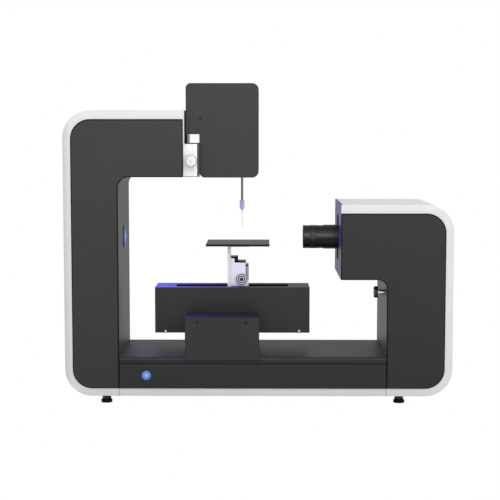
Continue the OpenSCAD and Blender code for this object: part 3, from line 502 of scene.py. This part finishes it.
# How far each of them reaches into the shell's face and out of it, and its chamfer
JOINT_DEPTHS = (-0.5, 0.12, 0.05)
SEAM_DEPTHS = (-0.6, -0.1, 0.05)
ARM_STRIP_DEPTHS = (-16, 0.2, 0.1)


def on_shell(name, corners, depths, finish):
    """A plate on the front of the shells and the same at their rear, between two depths in mm
    past their faces. The name has a gap for the word front or rear."""
    half = abs(low["left_shell"][1])
    inner, outer, chamfer = depths
    for word, side in (("front", -1), ("rear", 1)):
        plate(name % word, corners, side * (half + inner * MM), side * (half + outer * MM),
              chamfer, finish, "housing")


def joint_shadows():
    """The painted shadow of the joint round the front panels and round the rear ones, where they meet
    the white rim: a thin black plate that stands a tenth of a mm out of the shell and JOINT mm past
    the panels, as painted shade in the gap. The two seams of the white strip under the base are
    filled with grey strips of SEAM mm."""
    left, right = "left_front_panel", "right_front_panel"
    past, back = JOINT * MM, OPENING * MM
    foot = low[left][2] - past
    x0, x1 = low[left][0] - past, high[right][0] + past
    column, face = low["base_top_plate"][0] - back, high["base_top_plate"][0] + back
    arm_x, arm_z = high[left][0] + past, low["head_stage_base"][2] + back
    lens_x, housing_z = low[right][0] + past, low["lens_face_plate"][2] + back
    arm_top, housing_top = high[left][2] + past, high[right][2] + past
    floor_z = FLOOR_Z * MM
    big, small = (PANEL_R + JOINT) * MM, SMALLEST_R * MM
    corners = [(x0, foot, big), (x1, foot, big), (x1, housing_top, big),
               (lens_x, housing_top, small), (lens_x, housing_z, small),
               (face, housing_z, HOUSING_R * MM), (face, floor_z, small), (column, floor_z, small),
               (column, arm_z, ARM_R * MM), (arm_x, arm_z, small), (arm_x, arm_top, small),
               (x0, arm_top, big)]
    # A thin black plate as painted shadow in the gap round the panels
    on_shell("%s_joint", corners, JOINT_DEPTHS, black_plastic)
    foot, top = low["base_shell"][2] + 0.1 * MM, low[left][2] - 0.5 * MM
    for end, x0 in (("left", low["base_shell"][0]), ("right", high["base_shell"][0] - SEAM * MM)):
        on_shell("seam_" + end + "_%s", oblong(x0, x0 + SEAM * MM, foot, top, SMALLEST_R),
                 SEAM_DEPTHS, seam_grey)


def arm_end():
    """The white strip that stands on the end of the arm beside its front panel, over the head
    stage, and the same strip at the rear."""
    x0 = high["left_front_panel"][0] - 0.1 * MM
    foot, top = high["head_stage_base"][2] + 0.3 * MM, high["left_shell"][2] - 0.5 * MM
    on_shell("arm_strip_%s", oblong(x0, x0 + ARM_STRIP * MM, foot, top), ARM_STRIP_DEPTHS,
             left_white)


# ---- The height stage --------------------------------------------------------------------------

PROUD = 0.1           # how far the bands of painted shadow stand out
SHADOW_DEPTH = 12.2      # how far they reach back, as far as the rack
SHADOW_HEIGHT = 2.2
SHADOW_R = 0.3           # the corners of the shadow bands and of the rack's gap
SHADOW_CHAMFER = 0.2
LINE_DEPTH = 1.0      # how far the joint and the strip reach back
LINE_CHAMFER = 0.05
STEP_WIDTH = 10.0     # the width of the highest step, at the left
LAST_WIDTH = 5.3      # the width of the lowest step, at the right
STEP_DROPS = (0.0, 8.0, 15.0)     # how far each step lies under the top
RACK_GAP_SHADOW = (6.9, 12.8, -9.9, 0.2)      # the painted shade in the gap at the rack's end: x from the left and z from the top
STAGE_JOINT = (-0.3, 0.5, -34.0, -10.0)  # x from the lowest step's left end, z from the top
SHADE_STRIP_Z = (-42.0, -17.4)                 # the grey strip of painted shade beside that joint, z from the top


def step_shadows():
    """Black bands of painted shadow along the top of the three steps of the height stage, and a black
    patch of painted shade in the gap at the end of its rack, in front of its rack and behind it, and
    the dark joint and the grey strip of painted shade at its right."""
    x0, front, _ = low["z_stage_base"]
    x3, rear, top = high["z_stage_base"]
    proud, deep, thin = PROUD * MM, SHADOW_DEPTH * MM, LINE_DEPTH * MM
    front, rear = front - proud, rear + proud
    x1, x2 = x0 + STEP_WIDTH * MM, x3 - LAST_WIDTH * MM
    for index, (left, right, drop) in enumerate(zip((x0, x1, x2), (x1, x2, x3), STEP_DROPS)):
        height = top - drop * MM
        # Black bands of painted shadow along the top of each step
        shadow_band = oblong(left + proud, right - proud, height - SHADOW_HEIGHT * MM, height + proud, SHADOW_R)
        for word, back, face in (("front", front + deep, front), ("rear", rear - deep, rear)):
            plate("step_cap_%s_%d" % (word, index), shadow_band, back, face, SHADOW_CHAMFER, matt_black,
                  "x_stage")
    # A black patch of painted shade in the gap at the rack's end
    left, right, z0, z1 = (part * MM for part in RACK_GAP_SHADOW)
    gap_band = oblong(x0 + left, x0 + right, top + z0, top + z1, SHADOW_R)
    for word, back, face in (("front", front + deep, front - proud),
                             ("rear", rear - deep, rear + proud)):
        plate("rack_gap_shadow_" + word, gap_band, back, face, SHADOW_CHAMFER, matt_black, "x_stage")
    left, right, z0, z1 = (part * MM for part in STAGE_JOINT)
    plate("stage_joint", oblong(x2 + left, x2 + right, top + z0, top + z1), front + thin, front,
          LINE_CHAMFER, matt_black, "x_stage")
    # A grey strip of painted shade beside the stage's joint
    z0, z1 = (part * MM for part in SHADE_STRIP_Z)
    plate("stage_shade_strip", oblong(x2 + right, x3, top + z0, top + z1), front + thin, front,
          LINE_CHAMFER, shade_aluminium, "x_stage")


# ---- Knobs and the head stage ------------------------------------------------------------------

CAMERA_KNOB_L = 7.5   # the length of the camera knob's black sleeve
KNOB_L = 14.0         # the length of the stage knob's sleeve
CAMERA_TEETH = 40
STAGE_TEETH = 36
SLEEVE_KNURL = 0.012  # how far the teeth swell and sink, as a share of the radius
KNOB_SHADE_TEETH, KNOB_SHADE_KNURL = 40, 0.01
OVER = 0.12           # how far a sleeve covers its knob
RING_SHARES = (0.98, 0.84, 0.68, 0.48, 0.34)    # the rings' radii as shares of the knob's
RING_FIRST = 0.34     # how far the widest ring stands out
RING_STEP = 0.18      # and how much further each next one does
# The grey ring of painted shade round the back of the head knob: distance behind the knob's face, and
# radius past the knob's
KNOB_SHADE = ((10.0, -0.1), (10.4, 0.3), (13.6, 0.3), (14.1, -0.1))
TOP_SHADOW = (-0.3, 1.5)     # the black line of painted shadow along the top of the head stage, from its top
FOOT_SHADE = (-0.1, 1.2)    # the grey line of painted shade along its foot, from its foot
STRIP_DEPTH = 20      # how far these lines reach back
STAGE_GAP = 0.3       # what the lines of the fixed block keep clear of the slide
SLIDE_SHADE = 3.7      # the width of the grey strip of painted shade at the slide's right end
SLIDE_SHADE_Z = (1.4, -0.5)  # its foot and its top, from those of the head stage
LINE_PROUD = 0.1      # how far they all stand out, and their chamfer


def knurl(teeth, depth, rings):
    """A straight knurl for turned(): the listed rings swell and sink by depth of their radius."""
    def ripple(angle, ring):
        return 1 + depth * np.isin(ring, rings) * np.cos(teeth * angle)
    return ripple


def past(profile, radius, along=0.0):
    """A profile whose pairs are counted from a place along the axis and from a radius, in mm."""
    return [(along + at, radius + more) for at, more in profile]


def screw(name, place, axis, radius, body, finish):
    """A button-head screw whose head stands out along axis from place, with a hollow socket."""
    profile = [(-0.3, radius), (0.25, radius), (0.45 * radius, 0.78 * radius),
               (0.55 * radius, 0.5 * radius), (0.1, 0.42 * radius)]
    return turned(name, place, axis, profile, finish, body, around=24)


def grip(name, back, axis, length, radius, teeth, body, finish):
    """A knurled sleeve with a chamfered face over a CAD knob, from its back along its axis."""
    over = radius + OVER
    profile = [(-0.15, over - 0.9), (0.5, over), (length - 1.6, over), (length - 0.7, over - 0.25),
               (length + OVER, over - 1.3), (length + OVER, 0.3 * over)]
    return turned(name, back, axis, profile, finish, body, around=teeth * 8,
                  ripple=knurl(teeth, SLEEVE_KNURL, [1, 2]))


def knobs():
    """The sleeves of the camera knob and the stage knob, the rings on the stage knob's face, the
    screw of the head knob, and a grey ring of painted shade round the head knob's back."""
    _, y, z = middle("camera_knob")
    back = low["camera_knob"][0] + CAMERA_KNOB_L * MM
    grip("camera_knob_grip", [back, y, z], LEFT, CAMERA_KNOB_L, radius_of("camera_knob", 1),
         CAMERA_TEETH, "camera_knob", black_gloss)

    x, _, z = middle("z_knob")
    radius, front = radius_of("z_knob", 0), low["z_knob"][1]
    grip("z_knob_grip", [x, front + KNOB_L * MM, z], FRONT, KNOB_L, radius, STAGE_TEETH, "z_knob",
         satin_aluminium)
    for index, share in enumerate(RING_SHARES):
        rise, reach = RING_FIRST + RING_STEP * index, share * radius
        turned("z_knob_ring_%d" % index, [x, front, z], FRONT,
               [(0, reach), (rise - 0.08, reach), (rise, reach - 0.12)],
               satin_aluminium if index % 2 else matt_black, "z_knob", around=48)

    x, _, z = middle("head_knob")
    face = [x, low["head_knob"][1], z]
    screw("head_knob_screw", face, FRONT, 2.2, "head_knob", satin_aluminium)
    # A grey ring as painted shade in the groove round the head knob
    turned("head_knob_shade_ring", face, REAR, past(KNOB_SHADE, radius_of("head_knob", 0)), shade_grey,
           "head_knob", around=KNOB_SHADE_TEETH * 4,
           ripple=knurl(KNOB_SHADE_TEETH, KNOB_SHADE_KNURL, [1, 2]))


def head_stage():
    """The black line of painted shadow along the top of the head stage and the grey line of painted
    shade along its foot, on its fixed block and on its slide, and the grey strip of painted shade at
    the slide's right end."""
    foot, top = low["head_stage_base"][2], high["head_stage_base"][2]
    start, gap = low["head_stage_base"][0], low["head_stage_slide"][0]
    end = high["head_stage_slide"][0]
    for node, body, x0, x1 in (("head_stage_base", "housing", start, gap - STAGE_GAP * MM),
                               ("head_stage_slide", "head", gap, end)):
        front = low[node][1] - LINE_PROUD * MM
        # A black line of painted shadow along the top and a grey line of painted shade along the foot
        for part, edge, (z0, z1), finish in (("lip", top, TOP_SHADOW, matt_black),
                                             ("foot_shade", foot, FOOT_SHADE, shade_grey)):
            plate("%s_%s" % (node, part), oblong(x0, x1, edge + z0 * MM, edge + z1 * MM),
                  front + STRIP_DEPTH * MM, front, LINE_PROUD, finish, body)
    z0, z1 = SLIDE_SHADE_Z
    # A grey-blue strip of painted shade at the slide's right end
    plate("head_slide_shade",
          oblong(end - SLIDE_SHADE * MM, end, foot + z0 * MM, top + z1 * MM),
          front + STRIP_DEPTH * MM, front, LINE_PROUD, shade_anodised, "head")


# ---- Needle hub, power button and lens ---------------------------------------------------------

# Profiles in mm: for the hub, height over its top and radius past its own; for the button, distance
# out of its face and radius
HUB_RIBS = ((-15.8, -0.3), (-15.2, 0.15), (-2.6, 0.15), (-2.2, 0.6), (-0.6, 0.6), (-0.2, 0.1))
BUTTON_RING = ((-0.2, 3.9), (0.15, 3.9), (0.15, 2.9), (-0.2, 2.9))
BUTTON_DOT = ((-0.2, 1.0), (0.12, 1.0), (0.2, 0.8))
HUB_FLUTES, HUB_KNURL = 8, 0.07
RING_CHAMFER = 0.4    # the chamfer of the rings on the lens
FOCUS_TEETH, FOCUS_KNURL = 60, 0.004


def hub_and_button():
    """The ribs of the needle hub, and the plain ring and dot moulded into the power button."""
    x, y = middle("needle_hub")[:2]
    turned("hub_ribs", [x, y, 0], UP,
           past(HUB_RIBS, radius_of("needle_hub", 0), high["needle_hub"][2] / MM), hub_plastic,
           "head", around=96, ripple=knurl(HUB_FLUTES, HUB_KNURL, [1, 2]))
    x, _, z = middle("power_button")
    face = [x, low["power_button"][1], z]
    turned("button_ring", face, FRONT, BUTTON_RING, mark_plastic, "button", around=64, loop=True)
    turned("button_dot", face, FRONT, BUTTON_DOT, mark_plastic, "button", around=32)


def lens_rings():
    """The lens's front rim, its knurled focus ring, a rib and a collar behind it, each a closed
    ring round the optical axis."""
    axis_y, axis_z = middle("lens_barrel")[1:]

    def ring(name, x0, x1, inside, outside, body, teeth=0):
        """A ring from x0 to x1 with chamfered edges; teeth give it a knurl."""
        length = x1 - x0
        profile = [(0, inside), (0, outside - RING_CHAMFER), (RING_CHAMFER, outside),
                   (length - RING_CHAMFER, outside), (length, outside - RING_CHAMFER),
                   (length, inside)]
        return turned(name, [x0 * MM, axis_y, axis_z], RIGHT, profile, lens_black, body,
                      around=max(96, teeth * 8), loop=True,
                      ripple=knurl(teeth, FOCUS_KNURL, [2, 3]) if teeth else None)

    x0 = low["lens_barrel"][0] / MM
    front, rear = radius_of("focus_ring", 2), radius_of("lens_barrel", 2)
    f0, f1 = low["focus_ring"][0] / MM, high["focus_ring"][0] / MM
    ring("lens_rim", x0 - 0.1, x0 + 2.4, front - 2.4, front + 0.25, "lens_unit")
    knurled = ring("focus_grip", f0, f1, front - 2.5, front + 0.15, "focus", teeth=FOCUS_TEETH)
    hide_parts("focus_ring")
    ring("lens_rib", f1 + 4.0, f1 + 5.2, front - 0.6, front + 0.2, "lens_unit")
    ring("lens_collar", x0 + 57.0, x0 + 59.0, rear - 0.6, rear + 0.2, "lens_unit")


# ---- Screws, louvres and lock nuts -------------------------------------------------------------

# Each row: name, the CAD node that the screws hold, the way they face, body, radius in mm, finish,
# and their places (x, z) in mm, by word or numbered
SCREWS = (
    ("x_cover_screw_%s", "x_cover", FRONT, "y_stage", 2.0, bright_aluminium,
     {"left": (-172.8, 123.7), "right": (75.2, 123.7)}),
    ("pedestal_screw_%s", "pedestal_cover", FRONT, "housing", 2.6, black_gloss,
     {"left": (-110.0, 150.6), "right": (-23.0, 150.6)}),
    ("head_screw%s", "head_cover", FRONT, "head", 2.0, black_gloss, {"": (-104.7, 517.5)}),
    ("left_rear_screw_%d", "left_rear_panel", REAR, "housing", 2.2, screw_steel,
     [(-325, 60), (-270, 60), (-325, 290), (-270, 290), (-325, 485), (-150, 500), (-150, 430)]),
    ("right_rear_screw_%d", "right_rear_panel", REAR, "housing", 2.2, screw_steel,
     [(325, 60), (248, 60), (325, 200), (248, 200), (325, 330), (160, 335), (160, 240)]),
    ("base_rear_screw_%d", "base_rear_panel", REAR, "housing", 2.2, screw_steel,
     [(-240, 65), (-60, 65), (219, 65), (-240, 38), (-60, 38), (219, 38)]),
    ("head_rear_screw_%d", "head_cover", REAR, "head", 1.6, screw_steel,
     [(-96, 425), (-12, 425), (-12, 565), (-118, 565), (-118, 500)]),
    ("x_cover_rear_screw_%d", "x_cover", REAR, "y_stage", 1.6, screw_steel,
     [(-180, 128), (-50, 128), (82, 128)]))
INLET_SCREW_X = 14.6     # from the middle of the inlet
LOUVRE_BANKS = (-180, -20)
LOUVRES = 6
LOUVRE_Z, LOUVRE_PITCH = 38, 5.0
LOUVRE_L, LOUVRE_H, LOUVRE_R = 62, 2.6, 1.2
LOUVRE_PROUD, LOUVRE_CHAMFER = 1.0, 0.8
PAD_TEETH, PAD_KNURL = 32, 0.01
# Profiles in mm: height over the bench, and radius, or radius past the pad's
NUT = ((7.0, 7.6), (7.4, 8.1), (10.6, 8.1), (11.0, 7.6))
PAD = ((0.6, -0.2), (1.0, 0.1), (3.2, 0.1), (3.6, -0.2))


def screws():
    """The small screws that hold the covers, the rear panels and the inlet."""
    for name, node, way, body, radius, finish, places in SCREWS:
        depth = low[node][1] if way == FRONT else high[node][1]
        named = places.items() if isinstance(places, dict) else enumerate(places)
        for word, (x, z) in named:
            screw(name % word, [x * MM, depth, z * MM], way, radius, body, finish)
    x, _, z = middle("power_inlet")
    for side in (-1, 1):
        screw("inlet_screw_%d" % (side + 1),
              [x + side * INLET_SCREW_X * MM, high["power_inlet"][1], z], REAR, 1.1, "housing",
              screw_steel)


def vents():
    """Two banks of low louvres on the base's rear panel, over the power supply and the board."""
    rear = high["base_rear_panel"][1]
    for bank, left in enumerate(LOUVRE_BANKS):
        for index in range(LOUVRES):
            x, z = left * MM, (LOUVRE_Z + LOUVRE_PITCH * index) * MM
            plate("louvre_%d_%d" % (bank, index),
                  oblong(x, x + LOUVRE_L * MM, z, z + LOUVRE_H * MM, LOUVRE_R),
                  rear - 0.2 * MM, rear + LOUVRE_PROUD * MM, LOUVRE_CHAMFER, black_plastic,
                  "housing")


def lock_nuts():
    """A thin hexagon nut on each foot's stud, and a ribbed edge round each rubber pad."""
    for corner, body in (("front_left", "foot_fl"), ("front_right", "foot_fr"),
                         ("rear_left", "foot_rl"), ("rear_right", "foot_rr")):
        x, y = middle("foot_" + corner)[:2]
        turned("lock_nut_" + corner, [x, y, 0], UP, NUT, black_anodised, body, around=6)
        turned("pad_grip_" + corner, [x, y, 0], UP, past(PAD, radius_of("foot_" + corner, 0)),
               black_rubber, body, around=PAD_TEETH * 6, ripple=knurl(PAD_TEETH, PAD_KNURL, [1, 2]))


joint_shadows()
arm_end()
step_shadows()
knobs()
head_stage()
hub_and_button()
lens_rings()
screws()
vents()
lock_nuts()


# ---- Studio ------------------------------------------------------------------------------------

WHITE_LIGHT = (1, 1, 1)
SOFT = 0.72                   # the strength of the even light all round
FLOOR_HALF = 12.0             # metres
FLOOR_TINTS = ((0.9, 0.9, 0.9), (0.92, 0.92, 0.92))
FLOOR_PATCHES = 2             # per metre
FLOOR_ROUGH = 0.9

# The photograph's camera: its place in metres, its tilt and turn in degrees, its lens in mm
CAMERA_PLACE = (0.00396, -2.45805, 0.49873)
CAMERA_TILT = 5.259
CAMERA_TURN = 0.4706
CAMERA_LENS = 95.07
CAMERA_SENSOR = 36

# The blue light of the window: each row a name, a power and what it falls on
GLOWS = (("stage_glow", 0.8, ["z_stage_base", "z_slide", "sample_plate", "needle_hub"]),
         ("box_glow", 8.0, ["x_cover"]), ("hood_glow", 2.4, ["pedestal_cover"]),
         ("base_glow", 0.6, ["base_top_plate"]), ("liner_glow", 0.8, ["right_liner"]),
         ("face_glow", 3.2, ["lens_face_plate", "lens_barrel"]))
GLOW_BLUE = (0.10, 0.08, 1.0)
GLOW_SIZE = 0.03              # metres
GLOW_GAP = 1.5                # mm: how far it stands in front of the window
GLOW_FALL = 0.25              # how far it looks down over a metre

# The lamps: name, place, what they look at, size in metres, power, and what they light, where
# that isn't everything
BRIGHT = ["head_stage_base", "head_stage_slide", "z_stage_base", "z_slide"]
LENS = ["lens_barrel", "lens_rim", "focus_grip", "lens_rib", "lens_collar"]
LAMPS = (("key", (0.2, -2.1, 2.5), (0, 0, 0.25), 2.4, 34, None),
         ("fill", (1.8, -1.6, 1.2), (0, 0, 0.25), 1.4, 6, None),
         ("silver", (-0.3, -2.2, 0.9), (-0.1, 0, 0.4), 1.0, 3.5, BRIGHT),
         ("gloss", (0.15, -1.4, 0.76), (0.15, 0, 0.297), 0.85, 17, LENS))


def studio():
    """A surround that the camera and glass see as white, and an even soft light from it on
    everything else."""
    world = bpy.data.worlds.new("studio")
    bpy.context.scene.world = world
    world.use_nodes = True
    tree = world.node_tree
    tree.nodes.clear()
    path = add(tree, "ShaderNodeLightPath").outputs
    seen = joined(tree, path["Is Camera Ray"], path["Is Transmission Ray"], "MAXIMUM")
    soft, white = (add(tree, "ShaderNodeBackground", (),
                       {"Color": (*WHITE_LIGHT, 1), "Strength": strength}).outputs[0]
                   for strength in (SOFT, 1.0))
    mix = add(tree, "ShaderNodeMixShader", [(seen, 0), (soft, 1), (white, 2)])
    add(tree, "ShaderNodeOutputWorld", [(mix.outputs[0], 0)])


def floor():
    """A wide pale floor just under the feet. It looks white to the camera, and the light that it
    throws back keeps the object's shadow."""
    made, tree, shader = new_finish("floor_white")
    tint = ramp(tree, noise(tree, own_place(tree), FLOOR_PATCHES), *FLOOR_TINTS)
    tree.links.new(tint, shader.inputs["Base Color"])
    give(shader, {"Roughness": FLOOR_ROUGH, "Specular IOR Level": 0.0})
    path = add(tree, "ShaderNodeLightPath").outputs
    glow = add(tree, "ShaderNodeEmission", (), {"Color": (*WHITE_LIGHT, 1)})
    mix = add(tree, "ShaderNodeMixShader", [(path["Is Camera Ray"], 0), (shader.outputs[0], 1),
                                            (glow.outputs[0], 2)])
    tree.links.new(mix.outputs[0], tree.nodes["Material Output"].inputs["Surface"])
    half = FLOOR_HALF
    mesh = bpy.data.meshes.new("floor")
    mesh.from_pydata([(-half, -half, 0), (half, -half, 0), (half, half, 0), (-half, half, 0)], [],
                     [(0, 1, 2, 3)])
    mesh.materials.append(made)
    ground = bpy.data.objects.new("floor", mesh)
    bpy.context.scene.collection.objects.link(ground)


def lamp(name, place, aim, size, power, pieces=None, colour=WHITE_LIGHT):
    """A square soft lamp at a place, turned to look at a point. Where pieces are named, it lights
    nothing but them."""
    light = bpy.data.lights.new(name, "AREA")
    light.size = size
    light.energy = power
    light.color = colour
    holder = bpy.data.objects.new(name, light)
    bpy.context.scene.collection.objects.link(holder)
    way = np.array(aim, float) - np.array(place, float)
    holder.location = place
    holder.rotation_euler = (math.atan2(math.hypot(way[0], way[1]), -way[2]), 0,
                             math.atan2(-way[0], way[1]))
    if pieces:
        receivers = bpy.data.collections.new(name + "_receivers")
        for piece in pieces:
            receivers.objects.link(bpy.data.objects[piece])
        holder.light_linking.receiver_collection = receivers
    return light


def glow():
    """The blue light that falls out of the backlight window: a faint one on the bright pieces of
    the stage, and stronger ones on the dark pieces near it, whose satin paint throws it back."""
    _, y, z = map(float, middle("backlight_window"))
    x = float(high["backlight_bezel"][0]) + GLOW_GAP * MM
    for name, power, pieces in GLOWS:
        lamp(name, (x, y, z), (x + 1.0, y, z - GLOW_FALL), GLOW_SIZE, power, pieces,
             GLOW_BLUE).shape = "DISK"


def camera():
    """The photograph's view, from the front and a little above the sample plate."""
    lens = bpy.data.cameras.new("camera")
    lens.sensor_width = CAMERA_SENSOR
    lens.lens = CAMERA_LENS
    holder = bpy.data.objects.new("camera", lens)
    bpy.context.scene.collection.objects.link(holder)
    holder.location = CAMERA_PLACE
    holder.rotation_euler = (math.radians(90 - CAMERA_TILT), 0, math.radians(CAMERA_TURN))
    bpy.context.scene.camera = holder


studio()
floor()
glow()
for row in LAMPS:
    lamp(*row)
camera()
bpy.context.scene.view_settings.view_transform = "Standard"
